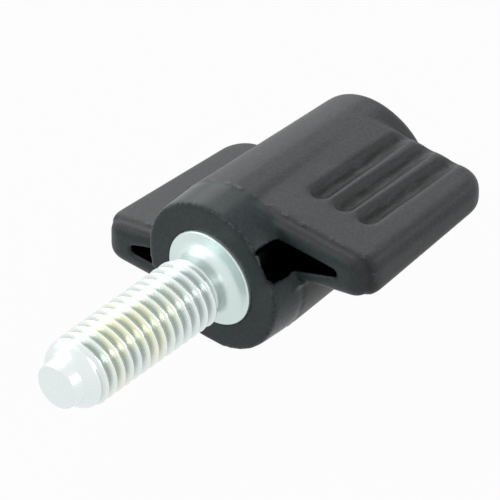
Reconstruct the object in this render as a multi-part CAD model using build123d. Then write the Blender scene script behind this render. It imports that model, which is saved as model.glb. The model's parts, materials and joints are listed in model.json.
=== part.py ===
from build123d import *
import os
from math import cos, radians, sin, sqrt, tan

# Wing screw: a moulded knob with two wings, on a threaded steel stud. It lies on one wing.
# Millimetres and degrees. The stud's axis is Y, with the tip at -Y, and Z is up.
# The origin is the centre of the seat, the flat steel ring that presses on the work.

# Stud, with a metric thread
thread_diameter = 5.0
stud_reach = 15.0             # from the knob's front face to the tip
seat_diameter = 6.8
seat_height = 0.28            # from the knob's front face to the seat
seat_edge = 0.12              # chamfer round the seat
neck_diameter = 4.1
neck_length = 1.35
neck_fillet = 0.85
run_out_length = 0.5          # cone from the neck to the full thread
nose_length = 1.5             # rounded stretch between the full thread and the tip
nose_end_diameter = 3.4
tip_diameter = 3.2
tip_length = 0.85
tip_edge = 0.15

# Anchor, the stud's shank inside the knob, with flutes closed at both ends
anchor_length = 10.0
flute_count = 12
flute_start = 0.6             # behind the knob's front face
flute_length = 7.6
flute_depth = 0.5
flute_angle = 90.0            # between a flute's two sides

# Hub of the knob, drafted both ways from its parting line
hub_diameter = 10.95
hub_length = 16.55
hub_front_diameter = 10.75
hub_rear_diameter = 9.8
parting_line = 3.0            # behind the knob's front face
crest_land = 1.4              # width of the flat along each crest of the hub
rear_round = 0.65

# Wing, the one that stands level with the hub's crest; the other is the same, half a turn round
wing_reach = 11.4             # from the axis to the tip
wing_start = 2.0              # behind the knob's front face
wing_end = 15.1
wing_drop = 0.17              # the wing's flat lies this far below the hub's crest
tip_height = 3.0
under_angle = 12.0            # rise of the underside towards the tip
flat_draft = 1.6
tip_draft = 3.1
front_corner_round = 1.6
rear_corner_round = 2.0
flat_edge_round = 0.95
under_edge_round = 0.9
root_fillet = 1.0             # between the underside and the hub
root_sink = 0.02              # how far the root fillet's foot runs into the hub

# Grip grooves along the wing's flat, open to the rear
groove_count = 3
groove_pitch = 2.0
first_groove = 3.8            # from the axis to the middle of the first groove
groove_start = 5.6            # behind the knob's front face
groove_radius = 0.8
groove_depth = 0.6            # at the groove's front end
groove_nose_angle = 55.0      # rise of the groove's front end

# Pocket that cores the wing out from the front, and notches the hub beside it
flat_wall = 1.5
tip_wall = 2.62
under_wall = 1.5              # at the pocket's end
pocket_floor_angle = 20.0     # rise of the pocket's floor towards the tip
hub_notch = 0.5               # how deep the pocket cuts into the hub's side
pocket_end = 10.5             # behind the knob's front face
pocket_corner_round = 0.15

overrun = 1.0                 # how far a cutter passes the surface that it opens

# Stations along the axis and sizes that follow from the ones above
front_y = seat_height
tip_y = front_y - stud_reach
wing_start_y = front_y + wing_start
wing_end_y = front_y + wing_end
hub_radius = hub_diameter / 2
wing_top = hub_radius - wing_drop
wing_low = wing_top - tip_height
pocket_ceiling = wing_top - flat_wall
notch_radius = hub_radius - hub_notch


def turned(profile):
    """Turns a profile drawn as (radius, distance along the axis) into a solid round the Y axis."""
    return revolve(make_face(profile), axis=Axis.Y)


def rounding(start, corner, end):
    """A round stretch of a profile that touches the lines from the corner to start and to end."""
    return Bezier(start, corner, end, weights=(1, sqrt(2) / 2, 1))


def threaded_stud():
    """The steel stud: tip, nose, thread at its outer diameter, neck, seat and fluted anchor."""
    thread_r = thread_diameter / 2
    neck_r = neck_diameter / 2
    seat_r = seat_diameter / 2
    nose_end_r = nose_end_diameter / 2
    tip_r = tip_diameter / 2
    nose_y = tip_y + tip_length
    thread_end_y = nose_y + nose_length
    run_out_y = -neck_length - run_out_length
    anchor_end_y = front_y + anchor_length

    nose = TangentArc((thread_r, thread_end_y), (nose_end_r, nose_y), tangent=(0, -1))
    root = rounding((neck_r, -neck_fillet), (neck_r, 0), (neck_r + neck_fillet, 0))
    tip_side = Polyline(
        (nose_end_r, nose_y),
        (tip_r, tip_y + tip_edge),
        (tip_r - tip_edge, tip_y),
        (0, tip_y),
        (0, anchor_end_y),
        (seat_r, anchor_end_y),
        (seat_r, seat_edge),
        (seat_r - seat_edge, 0),
        (neck_r + neck_fillet, 0),
    )
    neck_side = Polyline(
        (neck_r, -neck_fillet),
        (neck_r, -neck_length),
        (thread_r, run_out_y),
        (thread_r, thread_end_y),
    )
    stud = turned([nose, tip_side, root, neck_side])

    flute_side = (flute_depth + overrun) * tan(radians(flute_angle / 2))
    flute_section = make_face(
        Polyline(
            (seat_r - flute_depth, 0),
            (seat_r + overrun, -flute_side),
            (seat_r + overrun, flute_side),
            close=True,
        )
    )
    flute = extrude(Plane.XZ.offset(-front_y - flute_start) * flute_section, amount=-flute_length)
    for index in range(flute_count):
        stud -= Rot(0, index * 360 / flute_count, 0) * flute
    return stud


def along_y(radius, length, x, y, z):
    """A cylinder along the Y axis that starts at the given point."""
    rod = Cylinder(radius, length, align=(Align.CENTER, Align.CENTER, Align.MIN))
    return Pos(x, y, z) * Rot(-90, 0, 0) * rod


def hub():
    """The round middle of the knob, widest at its parting line, with a narrow land on each crest."""
    front_r = hub_front_diameter / 2
    rear_r = hub_rear_diameter / 2
    rear_y = front_y + hub_length
    parting_y = front_y + parting_line
    shoulder_y = rear_y - rear_round
    shoulder_r = hub_radius_at(shoulder_y)
    sides = Polyline(
        (rear_r - rear_round, rear_y),
        (0, rear_y),
        (0, front_y),
        (front_r, front_y),
        (hub_radius, parting_y),
        (shoulder_r, shoulder_y),
    )
    shoulder = rounding((shoulder_r, shoulder_y), (rear_r, rear_y), (rear_r - rear_round, rear_y))
    body = turned([sides, shoulder])
    land = Vector(0, parting_y, sqrt(hub_radius**2 - (crest_land / 2) ** 2))
    front_draft = (hub_radius - front_r) / parting_line
    rear_draft = (hub_radius - rear_r) / (hub_length - parting_line)
    for _ in range(2):
        body = split(body, bisect_by=Plane(land, z_dir=(0, -front_draft, 1)), keep=Keep.BOTTOM)
        body = split(body, bisect_by=Plane(land, z_dir=(0, rear_draft, 1)), keep=Keep.BOTTOM)
        body = Rot(0, 180, 0) * body
    return body


def hub_radius_at(y):
    """The hub's outer radius at one station, from its drafts."""
    behind_parting = y - front_y - parting_line
    front_r = hub_front_diameter / 2
    rear_r = hub_rear_diameter / 2
    if behind_parting < 0:
        return hub_radius + (hub_radius - front_r) * behind_parting / parting_line
    return hub_radius + (rear_r - hub_radius) * behind_parting / (hub_length - parting_line)


def blade():
    """The wing's plain body: a block cut by the drafted planes of its flat, its tip and its underside."""
    flat_fall = tan(radians(flat_draft))
    tip_fall = tan(radians(tip_draft))
    under_rise = tan(radians(under_angle))
    corner = Vector(wing_reach, wing_start_y, wing_low)
    flat = Plane(Vector(0, wing_start_y, wing_top), z_dir=(0, flat_fall, 1))
    tip = Plane(corner, z_dir=(1, tip_fall, 0))
    underside = Plane(corner, z_dir=(under_rise, flat_fall + tip_fall * under_rise, -1))
    size = 2 * wing_reach
    block = Box(size, wing_end - wing_start, size, align=(Align.MIN, Align.MIN, Align.CENTER))
    body = Pos(0, wing_start_y, 0) * block
    for face in (flat, tip, underside):
        body = split(body, bisect_by=face, keep=Keep.BOTTOM)
    return body


def root_section(y):
    """The fillet between the wing's underside and the hub at one station, as a slim triangle with a hollow side."""
    run = y - wing_start_y
    reach = wing_reach - run * tan(radians(tip_draft))
    low = wing_low + run * tan(radians(flat_draft))
    outward = Vector(1, 0, 0).rotate(Axis.Y, -under_angle)
    below = Vector(0, 0, -1).rotate(Axis.Y, -under_angle)
    under_distance = Vector(reach, 0, low).dot(below)
    sunk_radius = hub_radius_at(y) - root_sink
    fillet_distance = sunk_radius + root_fillet
    along = sqrt(fillet_distance**2 - (under_distance + root_fillet) ** 2)
    station = Vector(0, y, 0)
    centre = outward * along + below * (under_distance + root_fillet)
    under_point = outward * along + below * under_distance
    hub_point = centre * (sunk_radius / fillet_distance)
    middle = centre + ((under_point + hub_point) / 2 - centre).normalized() * root_fillet
    hollow = ThreePointArc(station + under_point, station + middle, station + hub_point)
    inside = Polyline(station + hub_point, station + under_point - outward * hub_radius, station + under_point)
    return make_face([hollow, *inside.edges()])


def wing():
    """One wing: a tapered blade with rounded corners and edges, grooved along its flat."""
    body = blade()
    corners = body.edges().filter_by(Axis.Z).sort_by(Axis.X)[-2:]
    body = fillet(corners.sort_by(Axis.Y)[-1], rear_corner_round)
    front_corner = body.edges().filter_by(Axis.Z).sort_by(Axis.X)[-1]
    body = fillet(front_corner, front_corner_round)
    flat = body.faces().sort_by(Axis.Z)[-1]
    body = fillet(edges_beyond(flat, wing_reach / 4), flat_edge_round)
    underside = body.faces().filter_by(GeomType.PLANE).sort_by(Axis.Z)[0]
    body = fillet(edges_beyond(underside, wing_reach / 4), under_edge_round)
    body += loft([root_section(wing_start_y), root_section(wing_end_y)], ruled=True)
    for cutter in groove_cutters():
        body -= cutter
    return body


def edges_beyond(face, x):
    """The edges round a face whose middle lies further from the axis than x."""
    return face.edges().filter_by(lambda edge: edge.center().X > x)


def groove_cutters():
    """Round cutters for the grip grooves, each bent up at its front end."""
    rise = radians(groove_nose_angle)
    above_flat = groove_radius - groove_depth
    knee_y = front_y + groove_start + groove_radius / sin(rise) - above_flat / tan(rise)
    knee_z = wing_top - (knee_y - wing_start_y) * tan(radians(flat_draft)) + above_flat
    length = wing_end_y - knee_y + groove_radius + overrun
    cutters = []
    for index in range(groove_count):
        knee = Vector(first_groove + index * groove_pitch, knee_y, knee_z)
        mitre = Plane(knee, z_dir=(0, 1 + cos(rise), -sin(rise)))
        bar = along_y(groove_radius, length, knee.X, knee_y - groove_radius, knee_z)
        nose = Pos(knee) * Rot(90 - groove_nose_angle, 0, 0) * Cylinder(groove_radius, 2 * length)
        bar = split(bar, bisect_by=mitre, keep=Keep.TOP)
        nose = split(nose, bisect_by=mitre, keep=Keep.BOTTOM)
        cutters.append(bar + nose)
    return cutters


def pocket_cutter():
    """The core of one wing, which leaves the hub's inner side round."""
    end = wing_reach - tip_wall
    floor_at_end = wing_low - tip_wall * tan(radians(under_angle)) + under_wall
    floor_at_axis = floor_at_end - end * tan(radians(pocket_floor_angle))
    outline = make_face(
        Polyline(
            (0, pocket_ceiling),
            (end, pocket_ceiling),
            (end, floor_at_end),
            (0, floor_at_axis),
            close=True,
        )
    )
    outline = fillet(outline.vertices().group_by(Axis.X)[-1], pocket_corner_round)
    outline -= Circle(notch_radius)
    start = Plane.XZ.offset(overrun - front_y)
    return extrude(start * outline, amount=-(overrun + pocket_end))


def wing_knob(stud):
    """The moulded knob: hub, two wings half a turn apart, their pockets, and the stud's seat."""
    right_wing = wing()
    half_turn = Rot(0, 180, 0)
    knob = hub() + right_wing + half_turn * right_wing
    pocket = pocket_cutter()
    knob = knob - pocket - half_turn * pocket
    return knob - stud


stud = threaded_stud()
knob = wing_knob(stud)

os.makedirs("parts", exist_ok=True)
export_step(stud, "parts/threaded_stud.step")
export_step(knob, "parts/wing_knob.step")
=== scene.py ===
"""Looks of the wing screw: a black moulded wing knob on a zinc-plated threaded stud.

Everything is in metres, in the part's own frame: the stud runs along -Y, Z is up, and the origin is
the centre of the seat, the flat steel ring that presses on the work.
"""

import json
import logging
from dataclasses import dataclass
from enum import Enum
from math import cos, pi, radians, sin, tan

import bmesh
import bpy
import numpy as np
from mathutils import Matrix, Vector, noise


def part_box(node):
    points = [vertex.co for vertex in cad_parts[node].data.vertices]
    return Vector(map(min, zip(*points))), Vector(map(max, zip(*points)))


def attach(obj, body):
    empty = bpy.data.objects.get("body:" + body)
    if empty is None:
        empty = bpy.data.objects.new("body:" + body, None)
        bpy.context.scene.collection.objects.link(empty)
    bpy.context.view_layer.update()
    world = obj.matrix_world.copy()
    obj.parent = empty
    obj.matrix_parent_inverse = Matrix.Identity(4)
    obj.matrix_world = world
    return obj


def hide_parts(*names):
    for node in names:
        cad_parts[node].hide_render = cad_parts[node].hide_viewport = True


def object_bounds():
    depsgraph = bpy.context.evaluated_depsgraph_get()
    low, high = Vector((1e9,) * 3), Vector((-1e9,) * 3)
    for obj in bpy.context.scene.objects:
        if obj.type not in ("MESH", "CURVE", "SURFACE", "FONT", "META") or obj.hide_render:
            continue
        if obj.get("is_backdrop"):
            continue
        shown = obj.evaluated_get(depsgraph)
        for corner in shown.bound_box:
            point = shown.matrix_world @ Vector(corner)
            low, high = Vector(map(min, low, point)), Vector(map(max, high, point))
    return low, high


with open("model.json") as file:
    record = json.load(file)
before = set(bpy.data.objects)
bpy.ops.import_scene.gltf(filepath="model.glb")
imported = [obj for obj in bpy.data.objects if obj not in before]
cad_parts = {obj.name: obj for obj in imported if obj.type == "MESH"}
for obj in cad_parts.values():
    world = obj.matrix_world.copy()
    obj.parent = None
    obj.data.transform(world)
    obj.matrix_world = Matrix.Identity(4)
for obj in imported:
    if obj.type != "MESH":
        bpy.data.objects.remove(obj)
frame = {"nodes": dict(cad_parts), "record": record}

log = logging.getLogger("wing_screw")

MM = 0.001
BODY = "root"
# From the knob's front to its parting line.
PARTING_STEP = 3.0 * MM
# How far a point goes towards the middle of its neighbours in one step.
RELAX_PULL = 0.5
Pair = tuple[float, float]
Span = tuple[float, float]
Point = tuple[float, float, float]
Colour = tuple[float, float, float]
Socket = bpy.types.NodeSocket
Value = float | Socket
Paint = Colour | Socket


class RayKind(Enum):
    """The rays that see a white backdrop, named as the Light Path node names them."""

    CAMERA = "Is Camera Ray"
    GLOSSY = "Is Glossy Ray"
    TRANSMISSION = "Is Transmission Ray"


class Slot(Enum):
    """The record's material slots."""

    PLASTIC = "black_plastic"
    STEEL = "zinc_steel"


class Trait(Enum):
    """The values that a mesh carries to its material, by attribute name."""

    # Depth in the thread's roots, which the plate darkens as painted shade.
    ROOT = "thread_root"
    # Inside the pockets, which the plastic darkens nearly to black as painted shade.
    CORE = "pocket_core"
    # Depth of the grip grooves, which the plastic darkens as painted shade.
    GROOVE = "groove_depth"
    # Flash and front rim, lightened as scuffs and as a painted highlight.
    SCUFF_AND_HIGHLIGHT = "parting_scuff_and_highlight"
    # The dip before the parting line, which the plastic also darkens as painted shade.
    DIP = "parting_dip"


class NodeSheet:
    """Adds nodes to one node tree and wires them with short calls."""

    def __init__(self, tree: bpy.types.NodeTree) -> None:
        """Starts on a tree.

        Args:
            tree: the tree that the nodes go into.
        """
        self.tree = tree

    def add(self, kind: str, inputs: dict | None = None, **settings: object) -> bpy.types.Node:
        """Adds one node.

        Args:
            kind: Blender's name of the node type.
            inputs: values or sockets for its inputs, by name or by number.
            settings: properties of the node.

        Returns:
            The new node.
        """
        node = self.tree.nodes.new(kind)
        for name, value in settings.items():
            setattr(node, name, value)
        for key, value in (inputs or {}).items():
            self.feed(value, node.inputs[key])
        return node

    def feed(self, value: object, socket: Socket) -> None:
        """Wires a socket to an input, or sets the input's own value.

        Args:
            value: an output socket, or a plain value.
            socket: the input that takes it.
        """
        if isinstance(value, Socket):
            self.tree.links.new(value, socket)
        else:
            socket.default_value = value

    def math(self, operation: str, *values: Value) -> Socket:
        """Adds a Math node.

        Args:
            operation: Blender's name of the operation.
            values: its one to three inputs, sockets or numbers.

        Returns:
            The result's socket.
        """
        return self.add("ShaderNodeMath", dict(enumerate(values)), operation=operation).outputs[0]

    def ramp(self, value: Socket, low: Value, high: Value, start: Value = 0.0, end: Value = 1.0,
             kind: str = "LINEAR") -> Socket:
        """Maps a range of values to another, clamped at both ends.

        Args:
            value: the socket to map.
            low: the value that becomes start.
            high: the value that becomes end.
            start: the result at low.
            end: the result at high.
            kind: Blender's name of the interpolation.

        Returns:
            The result's socket.
        """
        inputs = {"Value": value, "From Min": low, "From Max": high, "To Min": start, "To Max": end}
        return self.add("ShaderNodeMapRange", inputs, interpolation_type=kind).outputs["Result"]

    def noise(self, place: Socket, scale: float, detail: float, rough: float) -> Socket:
        """Adds a noise texture.

        Args:
            place: the coordinates' socket.
            scale: waves per metre.
            detail: how many finer waves are added.
            rough: how strong the finer waves are.

        Returns:
            The socket of its value, about 0 to 1.
        """
        inputs = {"Vector": place, "Scale": scale, "Detail": detail, "Roughness": rough}
        return self.add("ShaderNodeTexNoise", inputs).outputs[0]

    def trait(self, trait: Trait) -> Socket:
        """Reads a value that the mesh carries."""
        return self.add("ShaderNodeAttribute", attribute_name=trait.value).outputs["Fac"]

    def blend(self, share: Value, first: Paint, second: Paint) -> Socket:
        """Mixes two colours.

        Args:
            share: how much of the second, a socket or a number.
            first: a colour, or its socket.
            second: a colour, or its socket.

        Returns:
            The mixed colour's socket.
        """
        node = self.add("ShaderNodeMix", {0: share}, data_type="RGBA")
        colours = [socket for socket in node.inputs if socket.type == "RGBA"]
        for value, socket in zip((first, second), colours):
            plain = not isinstance(value, Socket)
            self.feed((*value, 1.0) if plain else value, socket)
        return next(socket for socket in node.outputs if socket.type == "RGBA")

    def bump(self, height: Socket, depth: float, below: Socket | None = None) -> Socket:
        """Adds a bump.

        Args:
            height: the socket of the height, 0 to 1.
            depth: the real height of 1, in metres.
            below: the normal that it is laid on, if any.

        Returns:
            The socket of the bumped normal.
        """
        node = self.add("ShaderNodeBump", {"Height": height, "Strength": 1.0, "Distance": depth})
        if below is not None:
            self.feed(below, node.inputs["Normal"])
        return node.outputs["Normal"]


def new_material(name: str) -> tuple[bpy.types.Material, NodeSheet, bpy.types.Node]:
    """Makes a material with one Principled shader.

    Args:
        name: the material's name.

    Returns:
        The material, its sheet of nodes and the shader.
    """
    material = bpy.data.materials.new(name)
    material.use_nodes = True
    sheet = NodeSheet(material.node_tree)
    shader = material.node_tree.nodes["Principled BSDF"]
    return material, sheet, shader


@dataclass(frozen=True)
class MouldedPlastic:
    """Black moulded plastic: smooth and greenish before the parting line, etched and paler behind."""

    parting_y: float
    smooth_colour: Colour = (0.032, 0.045, 0.047)
    etched_colour: Colour = (0.053, 0.056, 0.058)
    # Lightened flash and rim: partly scuffs, partly a painted highlight where light catches them.
    scuff_and_highlight_colour: Colour = (0.17, 0.18, 0.18)
    # Painted shade: the pockets' walls are darkened nearly to black, as deep shadow.
    pocket_shade_share: float = 0.015
    # Painted shade in the grip grooves.
    groove_shade_share: float = 0.28
    # Painted shade in the dip before the parting line.
    dip_shade_share: float = 0.55
    specular: float = 0.22
    smooth_roughness: float = 0.36
    etched_roughness: float = 0.46
    core_roughness: float = 0.15
    roughness_swing: float = 0.04
    hub_radius: float = 5.5 * MM
    lip: float = 0.85 * MM
    blend_width: float = 0.12 * MM
    grain: float = 0.22 * MM
    grain_depth: float = 0.012 * MM
    grain_span: Span = (0.3, 0.7)
    grain_shades: Span = (0.8, 1.2)
    smooth_grain: float = 0.4
    scuff_and_highlight_span: Span = (0.4, 0.6)
    flow: float = 4.0 * MM
    flow_depth: float = 0.02 * MM
    flow_span: Span = (0.35, 0.65)
    flow_shades: Span = (0.86, 1.14)
    gloss_span: Span = (0.3, 0.7)
    streak: float = 0.35 * MM
    streak_stretch: Point = (1.0, 0.25, 1.0)
    streak_span: Span = (0.38, 0.58)
    streak_shades: Span = (0.25, 1.0)

    def material(self) -> bpy.types.Material:
        """Builds the material.

        Returns:
            The plastic's material.
        """
        material, sheet, shader = new_material("moulded plastic")
        place = sheet.add("ShaderNodeTexCoord").outputs["Object"]
        grain = sheet.noise(place, 1 / self.grain, detail=2.0, rough=0.6)
        flow = sheet.noise(place, 1 / self.flow, detail=3.0, rough=0.5)
        etched = self.etched_nodes(sheet, place)
        core = sheet.trait(Trait.CORE)

        plain = sheet.blend(etched, self.smooth_colour, self.etched_colour)
        # Scuffs and painted highlight: the flash and the front rim are lightened.
        speckle = sheet.math("MULTIPLY", sheet.trait(Trait.SCUFF_AND_HIGHLIGHT), sheet.ramp(grain, *self.scuff_and_highlight_span))
        scuffed_and_highlighted = sheet.blend(speckle, plain, self.scuff_and_highlight_colour)
        shade = sheet.math("MULTIPLY", sheet.ramp(flow, *self.flow_span, *self.flow_shades),
                           sheet.ramp(grain, *self.grain_span, *self.grain_shades))
        # Painted shade: the parting dip, the pockets' walls and the grip grooves are darkened.
        darker = [
            (sheet.trait(Trait.DIP), self.dip_shade_share),
            (core, self.pocket_shade_share),
            (self.groove_shade_nodes(sheet, place), self.groove_shade_share),
        ]
        for share, least in darker:
            shade = sheet.math("MULTIPLY", shade, sheet.ramp(share, 0.0, 1.0, 1.0, least))
        shaded = sheet.add("ShaderNodeHueSaturation", {"Value": shade, "Color": scuffed_and_highlighted}).outputs[0]
        sheet.feed(shaded, shader.inputs["Base Color"])
        shader.inputs["Specular IOR Level"].default_value = self.specular

        gloss = sheet.ramp(etched, 0.0, 1.0, self.smooth_roughness, self.etched_roughness)
        uneven = sheet.ramp(flow, *self.gloss_span, -self.roughness_swing, self.roughness_swing)
        outside = sheet.math("ADD", gloss, uneven)
        roughness = sheet.ramp(core, 0.0, 1.0, outside, self.core_roughness)
        sheet.feed(roughness, shader.inputs["Roughness"])
        soft = sheet.bump(flow, self.flow_depth)
        fine_height = sheet.math("MULTIPLY", grain, sheet.ramp(etched, 0.0, 1.0, self.smooth_grain, 1.0))
        sheet.feed(sheet.bump(fine_height, self.grain_depth, soft), shader.inputs["Normal"])
        return material

    def etched_nodes(self, sheet: NodeSheet, place: Socket) -> Socket:
        """Tells the etched rear from the smooth front. The etching reaches further forward on the wings.

        Args:
            sheet: the material's sheet.
            place: the socket of the place on the surface.

        Returns:
            A socket that is 0 on the smooth front and 1 on the etched rear.
        """
        axes = sheet.add("ShaderNodeSeparateXYZ", {0: place}).outputs
        across = sheet.add("ShaderNodeCombineXYZ", {"X": axes["X"], "Z": axes["Z"]}).outputs[0]
        radius = sheet.add("ShaderNodeVectorMath", {0: across}, operation="LENGTH").outputs["Value"]
        on_wing = sheet.ramp(radius, self.hub_radius, self.hub_radius + self.lip, 0.0, self.lip)
        along = sheet.math("ADD", axes["Y"], on_wing)
        return sheet.ramp(along, self.parting_y - self.blend_width, self.parting_y + self.blend_width)

    def groove_shade_nodes(self, sheet: NodeSheet, place: Socket) -> Socket:
        """Paints shade into the grip grooves by their depth, broken into lengthwise streaks.

        Args:
            sheet: the material's sheet.
            place: the socket of the place on the surface.

        Returns:
            A socket that is 0 on the flats and up to 1 in the grooves.
        """
        stretch = {"Vector": place, "Scale": self.streak_stretch}
        lengthwise = sheet.add("ShaderNodeMapping", stretch).outputs[0]
        streaks = sheet.noise(lengthwise, 1 / self.streak, detail=2.0, rough=0.6)
        strength = sheet.ramp(streaks, *self.streak_span, *self.streak_shades)
        return sheet.math("MULTIPLY", sheet.trait(Trait.GROOVE), strength)


@dataclass(frozen=True)
class ZincPlate:
    """Bright zinc plate on steel: bluish white, yellowish on flanks, painted shade in roots and by the
    seat.
    """

    thread_radius: float
    colour: Colour = (0.84, 0.91, 0.90)
    # Painted shade with a reflected aqua tint, by the seat.
    neck_shade_colour: Colour = (0.73, 0.84, 0.82)
    # Painted shade in the thread's roots.
    root_shade_colour: Colour = (0.40, 0.45, 0.43)
    tint: Colour = (0.95, 0.97, 0.78)
    neck_y: float = -1.2 * MM
    tint_start: float = -3.5 * MM
    tint_end: float = -13.0 * MM
    tint_span: Span = (0.4, 0.65)
    root_power: float = 1.5
    metallic: float = 0.9
    roughness: float = 0.25
    roughness_swing: float = 0.05
    neck_dulling: float = 0.15
    cloud: float = 3.0 * MM
    grain: float = 0.12 * MM
    grain_span: Span = (0.3, 0.7)

    def material(self) -> bpy.types.Material:
        """Builds the material.

        Returns:
            The plate's material.
        """
        material, sheet, shader = new_material("zinc plate")
        place = sheet.add("ShaderNodeTexCoord").outputs["Object"]
        along = sheet.add("ShaderNodeSeparateXYZ", {0: place}).outputs["Y"]
        cloud = sheet.noise(place, 1 / self.cloud, detail=2.0, rough=0.5)
        grain = sheet.noise(place, 1 / self.grain, detail=3.0, rough=0.6)
        near_neck = sheet.ramp(along, self.tint_start, self.tint_start - self.thread_radius,
                               kind="SMOOTHSTEP")
        near_tip = sheet.ramp(along, self.tint_end, self.tint_end + self.thread_radius, kind="SMOOTHSTEP")
        on_thread = sheet.math("MULTIPLY", near_neck, near_tip)
        tinted = sheet.math("MULTIPLY", on_thread, sheet.ramp(cloud, *self.tint_span))
        beside_seat = sheet.ramp(along, self.neck_y - self.thread_radius / 2, self.neck_y,
                                 kind="SMOOTHSTEP")
        # By the seat the colour is darkened and tinted aqua, as painted shade and reflection.
        bare = sheet.blend(beside_seat, self.colour, self.neck_shade_colour)
        flanks = sheet.blend(tinted, bare, self.tint)
        # The thread's roots are darkened as painted shade.
        deep = sheet.math("POWER", sheet.trait(Trait.ROOT), self.root_power)
        sheet.feed(sheet.blend(deep, flanks, self.root_shade_colour), shader.inputs["Base Color"])
        shader.inputs["Metallic"].default_value = self.metallic
        least = self.roughness - self.roughness_swing
        most = self.roughness + self.roughness_swing
        even = sheet.ramp(grain, *self.grain_span, least, most)
        dull = sheet.math("MULTIPLY", beside_seat, self.neck_dulling)
        sheet.feed(sheet.math("ADD", even, dull), shader.inputs["Roughness"])
        return material


@dataclass(frozen=True)
class WhitePaper:
    """The floor's pale paper: white to the camera and in reflections, and it keeps the shadow."""

    colour: Colour = (0.4, 0.4, 0.4)
    roughness: float = 0.9
    glow: float = 0.97

    def material(self) -> bpy.types.Material:
        """Builds the material.

        Returns:
            The paper's material.
        """
        material, sheet, shader = new_material("white paper")
        shader.inputs["Base Color"].default_value = (*self.colour, 1.0)
        shader.inputs["Roughness"].default_value = self.roughness
        shader.inputs["Specular IOR Level"].default_value = 0.0
        share = sheet.math("MULTIPLY", seen_directly(sheet), self.glow)
        glow = sheet.add("ShaderNodeEmission").outputs[0]
        mix = sheet.add("ShaderNodeMixShader", {0: share, 1: shader.outputs[0], 2: glow})
        output = material.node_tree.nodes["Material Output"]
        sheet.feed(mix.outputs[0], output.inputs["Surface"])
        return material


def seen_directly(sheet: NodeSheet) -> Socket:
    """Tells the rays that see the backdrop as white from those that carry light.

    Args:
        sheet: the sheet that the nodes go on.

    Returns:
        A socket that is 1 for the rays in RayKind.
    """
    path = sheet.add("ShaderNodeLightPath")
    total = path.outputs[RayKind.CAMERA.value]
    for kind in (RayKind.GLOSSY, RayKind.TRANSMISSION):
        total = sheet.math("MAXIMUM", total, path.outputs[kind.value])
    return total


def new_object(name: str, mesh: bpy.types.Mesh) -> bpy.types.Object:
    """Links a mesh into the scene as an object at the origin.

    Args:
        name: the object's name.
        mesh: its mesh.

    Returns:
        The object.
    """
    piece = bpy.data.objects.new(name, mesh)
    bpy.context.scene.collection.objects.link(piece)
    return piece


def settle(piece: bpy.types.Object) -> None:
    """Turns what an object's modifiers make into its plain mesh.

    Args:
        piece: the object, which keeps its name and loses its modifiers.
    """
    evaluated = piece.evaluated_get(bpy.context.evaluated_depsgraph_get())
    mesh = bpy.data.meshes.new_from_object(evaluated)
    piece.modifiers.clear()
    piece.data = mesh
    mesh.name = piece.name


def arc(centre: Pair, radius: float, start: float, end: float, steps: int) -> list[Pair]:
    """Points on an arc, both ends included.

    Args:
        centre: the arc's centre.
        radius: its radius.
        start: the first angle, in degrees.
        end: the last angle, in degrees.
        steps: how many chords it has.

    Returns:
        The points, as pairs.
    """
    angles = [radians(start + (end - start) * step / steps) for step in range(steps + 1)]
    return [(centre[0] + radius * cos(angle), centre[1] + radius * sin(angle)) for angle in angles]


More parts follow.
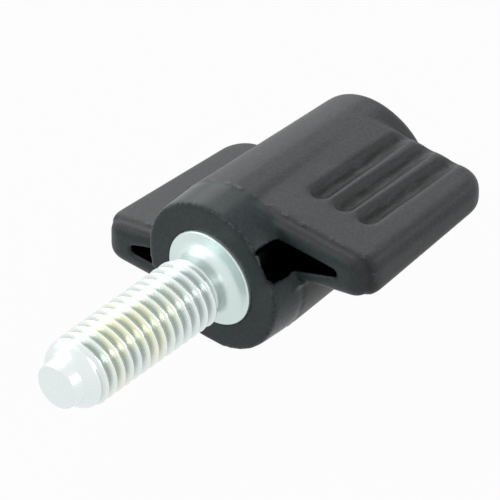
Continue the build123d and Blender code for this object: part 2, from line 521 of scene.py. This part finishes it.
@dataclass
class ThreadedStud:
    """The steel stud: dog tip, rounded nose, rolled thread, neck, seat and the anchor inside the knob."""

    low: Vector
    high: Vector
    thread_radius: float
    pitch: float = 0.8 * MM
    thread_depth: float = 0.47 * MM
    flank_span: Span = (0.1, 0.8)
    soft_flank_span: Span = (0.05, 0.9)
    flank_share: float = 0.55
    neck_radius: float = 2.05 * MM
    neck_length: float = 1.35 * MM
    neck_fillet: float = 0.85 * MM
    run_out_length: float = 0.5 * MM
    nose_length: float = 1.5 * MM
    nose_end_radius: float = 1.7 * MM
    tip_radius: float = 1.6 * MM
    tip_length: float = 0.85 * MM
    tip_round: float = 0.15 * MM
    seat_round: float = 0.12 * MM
    flute_start: float = 0.88 * MM
    flute_length: float = 7.6 * MM
    flute_depth: float = 0.5 * MM
    flute_count: int = 12
    flute_wall: float = 0.008 * MM
    flute_slack: float = 1.0001
    columns: int = 144
    rows_per_pitch: int = 16
    arc_steps: int = 6
    sharp_angle: float = radians(40)
    weld: float = 0.0008 * MM

    @property
    def nose_y(self) -> float:
        """Where the nose meets the dog tip."""
        return self.low.y + self.tip_length

    @property
    def thread_end_y(self) -> float:
        """Where the full thread ends and the nose starts to round off."""
        return self.nose_y + self.nose_length

    def tip_profile(self) -> list[Pair]:
        """Draws the dog tip's profile, from the axis to the nose.

        Returns:
            Pairs of radius and y.
        """
        edge = (self.tip_radius - self.tip_round, self.low.y + self.tip_round)
        rounding = arc(edge, self.tip_round, -90, 0, self.arc_steps)
        return [(0.0, self.low.y), *rounding, (self.nose_end_radius, self.nose_y)]

    def seat_profile(self) -> list[Pair]:
        """Draws the profile from the neck over the seat and the anchor to the axis.

        Returns:
            Pairs of radius and y.
        """
        seat_radius = self.high.x
        centre = (self.neck_radius + self.neck_fillet, -self.neck_fillet)
        fillet = arc(centre, self.neck_fillet, 180, 90, self.arc_steps)
        edge = (seat_radius - self.seat_round, self.seat_round)
        rim = arc(edge, self.seat_round, -90, 0, self.arc_steps)
        flute_end = self.flute_start + self.flute_length
        return [
            (self.neck_radius, -self.neck_length),
            *fillet,
            *rim,
            (seat_radius, self.flute_start - self.flute_wall),
            (seat_radius, self.flute_start),
            (seat_radius, flute_end),
            (seat_radius, flute_end + self.flute_wall),
            (seat_radius, self.high.y),
            (0.0, self.high.y),
        ]

    def profile_mesh(self) -> bpy.types.Mesh:
        """Makes the turned ends' profile, the tip's points first, as a mesh of loose points.

        Returns:
            The mesh, with its points at x radius and y along the axis.
        """
        points = [*self.tip_profile(), *self.seat_profile()]
        mesh = bpy.data.meshes.new("stud profile")
        mesh.from_pydata([(radius, y, 0.0) for radius, y in points], [], [])
        return mesh

    def tree(self) -> tuple[bpy.types.NodeTree, dict[str, str]]:
        """Builds the Geometry Nodes tree of the stud.

        Returns:
            The tree, and its inputs' identifiers by name.
        """
        tree = bpy.data.node_groups.new("threaded stud", "GeometryNodeTree")
        tree.is_modifier = True
        sheet = NodeSheet(tree)
        tree.interface.new_socket("Profile", in_out="INPUT", socket_type="NodeSocketGeometry")
        kinds = {name: "NodeSocketFloat" for name in self.sizes()}
        kinds |= {name: "NodeSocketInt" for name in self.counts()}
        kinds["Finish"] = "NodeSocketMaterial"
        names = {}
        for name, kind in kinds.items():
            socket = tree.interface.new_socket(name, in_out="INPUT", socket_type=kind)
            names[name] = socket.identifier
        tree.interface.new_socket("Stud", in_out="OUTPUT", socket_type="NodeSocketGeometry")
        given = sheet.add("NodeGroupInput").outputs
        parts = sheet.add("GeometryNodeJoinGeometry")
        pieces = [
            self.thread_nodes(sheet, given),
            self.turned_nodes(sheet, given, 0.0, given["Tip Points"]),
            self.turned_nodes(sheet, given, given["Tip Points"], given["Seat Points"]),
        ]
        for piece in pieces:
            tree.links.new(piece, parts.inputs[0])
        real = sheet.add("GeometryNodeRealizeInstances", {0: parts.outputs[0]}).outputs[0]
        weld = {"Geometry": real, "Distance": given["Weld"]}
        closed = sheet.add("GeometryNodeMergeByDistance", weld).outputs[0]
        smooth = sheet.add("GeometryNodeSetShadeSmooth", {"Geometry": closed}).outputs[0]
        angle = sheet.add("GeometryNodeInputMeshEdgeAngle").outputs["Unsigned Angle"]
        sharp = sheet.math("GREATER_THAN", angle, given["Sharp Angle"])
        edges = {"Geometry": smooth, "Selection": sharp, "Shade Smooth": False}
        crisp = sheet.add("GeometryNodeSetShadeSmooth", edges, domain="EDGE").outputs[0]
        finish = {"Geometry": crisp, "Material": given["Finish"]}
        dressed = sheet.add("GeometryNodeSetMaterial", finish).outputs[0]
        sheet.add("NodeGroupOutput", {0: dressed})
        return tree, names

    def sizes(self) -> dict[str, float]:
        """Lists the tree's sizes.

        Returns:
            The sizes by the names of the tree's inputs.
        """
        drop = self.thread_radius - self.nose_end_radius
        return {
            "Pitch": self.pitch,
            "Thread Radius": self.thread_radius,
            "Thread Depth": self.thread_depth,
            "Neck Radius": self.neck_radius,
            "Neck End": -self.neck_length,
            "Run Out End": -self.neck_length - self.run_out_length,
            "Nose Start": self.thread_end_y,
            "Nose End": self.nose_y,
            "Nose Round": (drop**2 + self.nose_length**2) / (2 * drop),
            "Flute Start": self.flute_start,
            "Flute Length": self.flute_length,
            "Flute Depth": self.flute_depth,
            "Sharp Angle": self.sharp_angle,
            "Weld": self.weld,
        }

    def counts(self) -> dict[str, int]:
        """Lists the tree's counts.

        Returns:
            The counts by the names of the tree's inputs.
        """
        pitches = (-self.neck_length - self.nose_y) / self.pitch + 1
        return {
            "Columns": self.columns,
            "Rows": round(pitches * self.rows_per_pitch) + 1,
            "Rows Per Pitch": self.rows_per_pitch,
            "Tip Points": len(self.tip_profile()),
            "Seat Points": len(self.seat_profile()),
            "Flutes": self.flute_count,
        }

    def thread_nodes(self, sheet: NodeSheet, given: bpy.types.NodeOutputs) -> Socket:
        """Lays a grid round the axis along the helix and cuts the thread into it.

        Args:
            sheet: the tree's sheet.
            given: the tree's inputs.

        Returns:
            The socket of the threaded surface.
        """
        rows = sheet.math("ADD", given["Rows"], 1.0)
        grid, turn, share = self.grid_nodes(sheet, given, rows)
        steps = sheet.math("MULTIPLY", share, given["Rows"])
        wave = sheet.math("DIVIDE", steps, given["Rows Per Pitch"])
        rise = sheet.math("ADD", sheet.math("SUBTRACT", wave, 1.0), turn)
        free_y = sheet.math("MULTIPLY_ADD", rise, given["Pitch"], given["Nose End"])
        top = sheet.math("MINIMUM", free_y, given["Neck End"])
        y = sheet.math("MAXIMUM", top, given["Nose End"])

        past_nose = sheet.math("MAXIMUM", sheet.math("SUBTRACT", given["Nose Start"], y), 0.0)
        square = sheet.math("SUBTRACT", sheet.math("POWER", given["Nose Round"], 2.0),
                            sheet.math("POWER", past_nose, 2.0))
        fall = sheet.math("SUBTRACT", given["Nose Round"], sheet.math("SQRT", square))
        rounded = sheet.math("SUBTRACT", given["Thread Radius"], fall)
        cone = sheet.ramp(y, given["Run Out End"], given["Neck End"],
                          given["Thread Radius"], given["Neck Radius"])
        outside = sheet.math("MINIMUM", rounded, cone)

        within_pitch = sheet.math("FRACT", wave)
        from_crest = sheet.math("ABSOLUTE", sheet.math("MULTIPLY_ADD", within_pitch, 2.0, -1.0))
        flank = sheet.ramp(from_crest, *self.flank_span)
        soft_flank = sheet.ramp(from_crest, *self.soft_flank_span, kind="SMOOTHSTEP")
        cut = sheet.math("ADD", sheet.math("MULTIPLY", flank, self.flank_share),
                         sheet.math("MULTIPLY", soft_flank, 1.0 - self.flank_share))
        fade_in = sheet.ramp(y, sheet.math("SUBTRACT", given["Nose Start"], given["Pitch"]),
                             given["Nose Start"], kind="SMOOTHSTEP")
        fade_out = sheet.ramp(y, given["Run Out End"], given["Neck End"], 1.0, 0.0, kind="SMOOTHSTEP")
        depth = sheet.math("MULTIPLY", sheet.math("MULTIPLY", fade_in, fade_out), given["Thread Depth"])
        groove = sheet.math("MULTIPLY", cut, depth)
        radius = sheet.math("SUBTRACT", outside, groove)
        root = sheet.math("DIVIDE", groove, given["Thread Depth"])
        mark = {"Geometry": grid, "Name": Trait.ROOT.value, "Value": root}
        marked = sheet.add("GeometryNodeStoreNamedAttribute", mark, data_type="FLOAT", domain="POINT")
        return self.place_nodes(sheet, marked.outputs[0], turn, radius, y)

    def turned_nodes(self, sheet: NodeSheet, given: bpy.types.NodeOutputs, first: Value,
                     count: Socket) -> Socket:
        """Turns a run of the profile's points round the axis, with the anchor's flutes cut in.

        Args:
            sheet: the tree's sheet.
            given: the tree's inputs.
            first: the number of the run's first point.
            count: how many points it has.

        Returns:
            The socket of the turned surface.
        """
        grid, turn, _ = self.grid_nodes(sheet, given, count)
        index = sheet.add("GeometryNodeInputIndex").outputs[0]
        row = sheet.math("ADD", sheet.math("MODULO", index, count), first)
        place = sheet.add("GeometryNodeInputPosition").outputs[0]
        lookup = {"Geometry": given["Profile"], "Value": place, "Index": row}
        sample = sheet.add("GeometryNodeSampleIndex", lookup, data_type="FLOAT_VECTOR", domain="POINT")
        point = sheet.add("ShaderNodeSeparateXYZ", {0: sample.outputs[0]}).outputs
        in_flute = sheet.math("FRACT", sheet.math("MULTIPLY_ADD", turn, given["Flutes"], 0.5))
        off_middle = sheet.math("ABSOLUTE", sheet.math("SUBTRACT", in_flute, 0.5))
        flute_width = sheet.math("DIVIDE", sheet.math("MULTIPLY", point["X"], 2 * pi), given["Flutes"])
        rise = sheet.math("MULTIPLY", off_middle, flute_width)
        depth = sheet.math("MAXIMUM", sheet.math("SUBTRACT", given["Flute Depth"], rise), 0.0)
        half_length = sheet.math("MULTIPLY", given["Flute Length"], 0.5)
        middle = sheet.math("ADD", given["Flute Start"], half_length)
        reach = sheet.math("MULTIPLY", half_length, self.flute_slack)
        fluted = sheet.math("COMPARE", point["Y"], middle, reach)
        radius = sheet.math("SUBTRACT", point["X"], sheet.math("MULTIPLY", fluted, depth))
        return self.place_nodes(sheet, grid, turn, radius, point["Y"])

    @staticmethod
    def grid_nodes(sheet: NodeSheet, given: bpy.types.NodeOutputs,
                   rows: Socket) -> tuple[Socket, Socket, Socket]:
        """Adds a unit grid with its own turn round the axis and share along it.

        Args:
            sheet: the tree's sheet.
            given: the tree's inputs.
            rows: how many points it has along the axis.

        Returns:
            The sockets of the grid, of the turn and of the share along it, both 0 to 1.
        """
        across = sheet.math("ADD", given["Columns"], 1.0)
        sizes = {"Size X": 1.0, "Size Y": 1.0, "Vertices X": across, "Vertices Y": rows}
        grid = sheet.add("GeometryNodeMeshGrid", sizes).outputs["Mesh"]
        place = sheet.add("GeometryNodeInputPosition").outputs[0]
        flat = sheet.add("ShaderNodeSeparateXYZ", {0: place}).outputs
        return grid, sheet.math("ADD", flat["X"], 0.5), sheet.math("ADD", flat["Y"], 0.5)

    @staticmethod
    def place_nodes(sheet: NodeSheet, grid: Socket, turn: Socket, radius: Socket, y: Socket) -> Socket:
        """Puts a grid's points round the Y axis.

        Args:
            sheet: the tree's sheet.
            grid: the grid's socket.
            turn: the turn round the axis, 0 to 1.
            radius: the distance from the axis.
            y: the place along the axis.

        Returns:
            The socket of the placed grid.
        """
        angle = sheet.math("MULTIPLY", turn, 2 * pi)
        x = sheet.math("MULTIPLY", radius, sheet.math("SINE", angle))
        z = sheet.math("MULTIPLY", radius, sheet.math("COSINE", angle))
        place = sheet.add("ShaderNodeCombineXYZ", {"X": x, "Y": y, "Z": z}).outputs[0]
        return sheet.add("GeometryNodeSetPosition", {"Geometry": grid, "Position": place}).outputs[0]

    def build(self, finish: ZincPlate) -> bpy.types.Object:
        """Makes the stud and dresses it.

        Args:
            finish: the plate on it.

        Returns:
            The finished piece.
        """
        piece = new_object("plated_stud", self.profile_mesh())
        tree, names = self.tree()
        modifier = piece.modifiers.new("thread", "NODES")
        modifier.node_group = tree
        values = {**self.sizes(), **self.counts(), "Finish": finish.material()}
        for name, value in values.items():
            modifier[names[name]] = value
        settle(piece)
        face_outwards(piece.data)
        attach(piece, BODY)
        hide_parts("threaded_stud")
        return piece


def face_outwards(mesh: bpy.types.Mesh) -> None:
    """Turns a closed mesh's faces outwards.

    Args:
        mesh: the mesh to change.
    """
    shape = bmesh.new()
    shape.from_mesh(mesh)
    bmesh.ops.recalc_face_normals(shape, faces=shape.faces)
    shape.to_mesh(mesh)
    shape.free()


@dataclass
class WingKnob:
    """The moulded knob: the solid's own shape, with the small roundings that a mould leaves on it."""

    node: bpy.types.Object
    parting_y: float
    cell: float = 0.15 * MM
    weld: float = 0.001 * MM
    edge_steps: int = 5
    blend_steps: int = 70
    blend_radius: float = 5.42 * MM
    wing_front_y: float = 2.28 * MM
    blend_low: float = 3.9 * MM
    blend_reach: float = 0.9 * MM
    bore_radius: float = 4.0 * MM
    hub_radius: float = 5.55 * MM
    pocket_ceiling: float = 3.8 * MM
    pocket_floor: float = 0.05 * MM
    pocket_floor_slope: float = 0.364
    pocket_end: float = 8.78 * MM
    pocket_round: float = 4.975 * MM
    pocket_back: float = 10.78 * MM
    pocket_margin: float = 0.12 * MM
    pocket_lead: float = 0.4
    flat_z: float = 5.305 * MM
    flat_fall: float = tan(radians(1.6))
    first_groove: float = 3.8 * MM
    groove_count: int = 3
    groove_pitch: float = 2.0 * MM
    groove_radius: float = 0.8 * MM
    groove_depth: float = 0.45 * MM
    groove_limit: float = 2.0
    groove_start: float = 5.8 * MM
    groove_end: float = 14.6 * MM
    crisp_reach: float = 0.4 * MM
    crisp_share: float = 0.3
    line_dip: float = 0.035 * MM
    wing_dip: float = 0.11 * MM
    dip_spread: float = 1.2
    line_width: float = 0.26 * MM
    flash_height: float = 0.05 * MM
    flash_width: float = 0.1 * MM
    flash_length: float = 0.7 * MM
    flash_gain: float = 2.5
    flash_least: float = 0.02
    flash_decay: float = 0.6
    flash_step: float = 2.0
    flash_octaves: int = 3
    rim_radius: float = 5.36 * MM
    rim_width: float = 0.12 * MM
    # How much the front rim is lightened, as scuffs and a painted highlight.
    rim_scuff_and_highlight: float = 0.6

    def build(self, finish: MouldedPlastic) -> bpy.types.Object:
        """Makes the knob and dresses it.

        Args:
            finish: the plastic it is moulded from.

        Returns:
            The finished piece.
        """
        piece = new_object("moulded_knob", self.merged_copy())
        cells = piece.modifiers.new("even cells", "REMESH")
        cells.mode = "VOXEL"
        cells.voxel_size = self.cell
        settle(piece)
        mesh = piece.data
        self.shape(mesh)
        mesh.shade_smooth()
        mesh.materials.clear()
        mesh.materials.append(finish.material())
        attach(piece, BODY)
        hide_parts("wing_knob")
        return piece

    def shape(self, mesh: bpy.types.Mesh) -> None:
        """Rounds the edges, presses in the parting line, raises its flash and stores the traits.

        Args:
            mesh: the knob's mesh of even cells.
        """
        points = mesh_points(mesh)
        points = relax(mesh, points, self.edge_weights(points), self.edge_steps)
        points = relax(mesh, points, self.blend_weights(points), self.blend_steps)
        move_points(mesh, points)
        core = self.core_shares(points)
        flash = self.flash_shares(points) * (1.0 - core)
        dip = self.dip_shares(points) * (1.0 - core)
        heights = flash * self.flash_height - dip * self.wing_dip
        points = points + mesh_normals(mesh) * heights[:, None]
        move_points(mesh, points)
        groove = self.groove_shares(points)
        # The flash and the rim are lightened as scuffs and a painted highlight.
        scuff_and_highlight = np.maximum(flash, self.rim_shares(points))
        traits = {Trait.CORE: core, Trait.SCUFF_AND_HIGHLIGHT: scuff_and_highlight, Trait.GROOVE: groove, Trait.DIP: dip}
        for trait, values in traits.items():
            mesh.attributes.new(trait.value, "FLOAT", "POINT").data.foreach_set("value", values)

    def merged_copy(self) -> bpy.types.Mesh:
        """Copies the solid's mesh and joins its loose triangles.

        Returns:
            The closed mesh.
        """
        mesh = bpy.data.meshes.new("knob shell")
        shape = bmesh.new()
        shape.from_mesh(self.node.data)
        bmesh.ops.remove_doubles(shape, verts=shape.verts, dist=self.weld)
        shape.to_mesh(mesh)
        shape.free()
        return mesh

    def blend_weights(self, points: np.ndarray) -> np.ndarray:
        """Picks out the hollow corner between the hub's collar and the front of each wing.

        Args:
            points: the mesh's points, one per row.

        Returns:
            A share per point, 1 in the corner and 0 away from it.
        """
        x, y, z = points.T
        off_corner = np.hypot(off_axis(points) - self.blend_radius, y - self.wing_front_y)
        near = np.clip(1.0 - off_corner / self.blend_reach, 0.0, 1.0)
        beside_wing = np.clip((z * np.sign(x) - self.blend_low) / self.blend_reach, 0.0, 1.0)
        return near * beside_wing

    def core_shares(self, points: np.ndarray) -> np.ndarray:
        """Tells the walls of the two pockets, which the plastic darkens as painted shade, from the
        outside.

        Args:
            points: the mesh's points, one per row.

        Returns:
            A share per point, 1 well inside a pocket and 0 outside.
        """
        y = points[:, 1]
        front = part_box("wing_knob")[0].y
        start = np.where(off_axis(points) < self.hub_radius, front, self.wing_front_y)
        inside = np.minimum(self.pocket_gaps(points), self.pocket_back - y) > -self.pocket_margin
        return inside * np.clip((y - start) / self.pocket_margin - self.pocket_lead, 0.0, 1.0)

    def groove_shares(self, points: np.ndarray) -> np.ndarray:
        """Finds how deep the grip grooves are at each point.

        Args:
            points: the mesh's points, one per row.

        Returns:
            A share per point, 0 on the flats and 1 at the bottom of a groove.
        """
        x, y, z = points.T
        side = np.where(x < 0.0, -1.0, 1.0)
        across = x * side - self.first_groove
        nearest = np.clip(np.round(across / self.groove_pitch), 0, self.groove_count - 1)
        from_middle = np.abs(across - self.groove_pitch * nearest)
        flat = self.flat_z - (y - self.wing_front_y) * self.flat_fall
        depth = (flat - z * side) / self.groove_depth
        within = (from_middle < self.groove_radius) & (y > self.groove_start) & (y < self.groove_end)
        return within * (depth < self.groove_limit) * np.clip(depth, 0.0, 1.0)

    def pocket_gaps(self, points: np.ndarray) -> np.ndarray:
        """Measures how far points lie inside the outline of the pockets, seen along the axis.

        Args:
            points: the points, one per row.

        Returns:
            A distance per point, negative outside the outline.
        """
        x, _, z = points.T
        side = np.where(x < 0.0, -1.0, 1.0)
        out, up = x * side, z * side
        floor = self.pocket_floor + self.pocket_floor_slope * out
        off_hub = np.hypot(out, up) - self.pocket_round
        return np.min([up - floor, self.pocket_ceiling - up, self.pocket_end - out, off_hub], axis=0)

    def edge_weights(self, points: np.ndarray) -> np.ndarray:
        """Chooses how far each edge is rounded, least round the pockets' mouths and the stud.

        Args:
            points: the mesh's points, one per row.

        Returns:
            A weight from 0 to 1 per point.
        """
        mouth = np.abs(self.pocket_gaps(points)) < self.crisp_reach
        bore = off_axis(points) < self.bore_radius
        return np.where(mouth | bore, self.crisp_share, 1.0)

    def flash_shares(self, points: np.ndarray) -> np.ndarray:
        """Finds where flash stands along the parting line, in short ragged stretches.

        Args:
            points: the mesh's points, one per row.

        Returns:
            A share per point, 1 on the tallest flash.
        """
        near = np.exp(-(((points[:, 1] - self.parting_y) / self.flash_width) ** 2))
        on_line = (near > self.flash_least) & (off_axis(points) > self.bore_radius)
        shares = np.zeros(len(points))
        for index in np.flatnonzero(on_line):
            place = Vector(points[index]) / self.flash_length
            ragged = noise.fractal(place, self.flash_decay, self.flash_step, self.flash_octaves)
            shares[index] = near[index] * min(max(self.flash_gain * ragged, 0.0), 1.0)
        return shares

    def rim_shares(self, points: np.ndarray) -> np.ndarray:
        """Finds the front rim of the hub, lightened as wear and as a painted highlight.

        Args:
            points: the mesh's points, one per row.

        Returns:
            A share of scuffing and painted highlight per point.
        """
        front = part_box("wing_knob")[0].y
        off_rim = np.hypot(off_axis(points) - self.rim_radius, points[:, 1] - front)
        return self.rim_scuff_and_highlight * np.exp(-((off_rim / self.rim_width) ** 2))

    def dip_shares(self, points: np.ndarray) -> np.ndarray:
        """Works out the dip in front of the parting line, deepest on the wings and darkened as painted
        shade.

        Args:
            points: the mesh's points, one per row.

        Returns:
            A share of the full dip per point.
        """
        radius = off_axis(points)
        reach = [self.hub_radius, self.dip_spread * self.hub_radius]
        depth = np.interp(radius, reach, [self.line_dip / self.wing_dip, 1.0])
        off_line = (points[:, 1] - self.parting_y + self.line_width) / self.line_width
        return (radius > self.bore_radius) * depth * np.exp(-(off_line**2))


def mesh_points(mesh: bpy.types.Mesh) -> np.ndarray:
    """Reads a mesh's points.

    Args:
        mesh: the mesh.

    Returns:
        The points, one per row.
    """
    points = np.empty(3 * len(mesh.vertices))
    mesh.vertices.foreach_get("co", points)
    return points.reshape(-1, 3)


def move_points(mesh: bpy.types.Mesh, points: np.ndarray) -> None:
    """Moves a mesh's points to new places, one per row."""
    mesh.vertices.foreach_set("co", points.ravel())
    mesh.update()


def off_axis(points: np.ndarray) -> np.ndarray:
    """Measures how far points, one per row, lie from the stud's axis."""
    return np.hypot(points[:, 0], points[:, 2])


def mesh_normals(mesh: bpy.types.Mesh) -> np.ndarray:
    """Reads the normals at a mesh's points.

    Args:
        mesh: the mesh.

    Returns:
        The normals, one per row.
    """
    normals = np.empty(3 * len(mesh.vertices))
    mesh.vertex_normals.foreach_get("vector", normals)
    return normals.reshape(-1, 3)


def relax(mesh: bpy.types.Mesh, points: np.ndarray, weights: np.ndarray, steps: int) -> np.ndarray:
    """Moves points towards the middle of their neighbours, a little in each step.

    Args:
        mesh: the mesh whose edges say which points are neighbours.
        points: the points, one per row.
        weights: how far each may move, 0 to 1.
        steps: how many times they move.

    Returns:
        The moved points.
    """
    ends = np.empty(2 * len(mesh.edges), dtype=np.int64)
    mesh.edges.foreach_get("vertices", ends)
    first, second = ends.reshape(-1, 2).T
    here = np.concatenate((first, second))
    there = np.concatenate((second, first))
    neighbours = np.bincount(here, minlength=len(points))
    for _ in range(steps):
        sums = [np.bincount(here, points[there, axis], len(points)) for axis in range(3)]
        middle = np.stack(sums, axis=1) / neighbours[:, None]
        points = points + RELAX_PULL * weights[:, None] * (middle - points)
    return points


@dataclass
class Studio:
    """The plain pale floor, the soft light and the camera at the photograph's angle."""

    floor_z: float
    floor_size: float = 3.0
    azimuth: float = 41.0
    elevation: float = 38.4
    distance: float = 0.771
    aim: Point = (1.18 * MM, 2.72 * MM, 1.34 * MM)
    lens: float = 864.0
    sensor: float = 36.0
    clip_near: float = 0.1
    clip_far: float = 100.0
    world_strength: float = 0.4

    def floor(self, paper: WhitePaper) -> None:
        """Lays the floor.

        Args:
            paper: its finish.
        """
        half = self.floor_size / 2
        corners = [(-half, -half), (half, -half), (half, half), (-half, half)]
        mesh = bpy.data.meshes.new("floor")
        mesh.from_pydata([(x, y, self.floor_z) for x, y in corners], [], [(0, 1, 2, 3)])
        mesh.materials.append(paper.material())
        new_object("floor", mesh)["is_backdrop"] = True

    def surroundings(self) -> None:
        """Lights the scene from a pale world, white where it is seen directly."""
        world = bpy.data.worlds.new("studio")
        world.use_nodes = True
        bpy.context.scene.world = world
        sheet = NodeSheet(world.node_tree)
        strength = sheet.ramp(seen_directly(sheet), 0.0, 1.0, self.world_strength, 1.0)
        background = world.node_tree.nodes["Background"]
        background.inputs["Color"].default_value = (1.0, 1.0, 1.0, 1.0)
        sheet.feed(strength, background.inputs["Strength"])

    def lamp(self, name: str, place: Point, width: float, height: float, radiance: float) -> None:
        """Hangs one soft box that faces the object.

        Args:
            name: the lamp's name.
            place: where it hangs.
            width: how wide the box is.
            height: how high it is.
            radiance: how bright its face is, where 1 is white.
        """
        light = bpy.data.lights.new(name, "AREA")
        light.shape = "RECTANGLE"
        light.size = width
        light.size_y = height
        light.energy = radiance * pi * width * height
        lamp = bpy.data.objects.new(name, light)
        bpy.context.scene.collection.objects.link(lamp)
        lamp.location = place
        lamp.rotation_euler = (Vector(self.aim) - Vector(place)).to_track_quat("-Z", "Y").to_euler()

    def camera(self) -> None:
        """Sets the camera at the photograph's viewing angle."""
        turn, tilt = radians(self.azimuth), radians(self.elevation)
        back = Vector((sin(turn) * cos(tilt), -cos(turn) * cos(tilt), sin(tilt)))
        right = Vector((cos(turn), sin(turn), 0.0))
        up = back.cross(right)
        data = bpy.data.cameras.new("camera")
        data.lens = self.lens
        data.sensor_width = self.sensor
        data.clip_start = self.distance * self.clip_near
        data.clip_end = self.distance * self.clip_far
        camera = bpy.data.objects.new("camera", data)
        bpy.context.scene.collection.objects.link(camera)
        place = Vector(self.aim) + back * self.distance
        camera.matrix_world = Matrix.Translation(place) @ Matrix((right, up, back)).transposed().to_4x4()
        bpy.context.scene.camera = camera


def main() -> None:
    """Builds the part's pieces, then the studio round them."""
    logging.basicConfig(level=logging.INFO, format="%(name)s: %(message)s")
    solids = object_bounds()
    bpy.context.scene.view_settings.view_transform = "Standard"

    mounts = {mount["name"]: mount for mount in frame["record"]["mounts"]}
    thread_radius = mounts["thread"]["dims"]["r_mm"] * MM
    stud = ThreadedStud(*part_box("threaded_stud"), thread_radius).build(ZincPlate(thread_radius))
    parting_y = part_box("wing_knob")[0].y + PARTING_STEP
    knob = WingKnob(frame["nodes"]["wing_knob"], parting_y).build(MouldedPlastic(parting_y))
    for piece in (stud, knob):
        log.info("%s has %d faces", piece.name, len(piece.data.polygons))

    studio = Studio(floor_z=solids[0].z)
    studio.floor(WhitePaper())
    studio.surroundings()
    studio.lamp("left box", place=(-0.3, 0.12, 0.22), width=0.36, height=0.36, radiance=1.9)
    studio.lamp("right strip", place=(0.3, 0.25, 0.24), width=0.5, height=0.09, radiance=3.4)
    studio.lamp("front box", place=(-0.3, -0.3, 0.2), width=0.25, height=0.25, radiance=2.2)
    studio.camera()


if __name__ == "__main__":
    main()
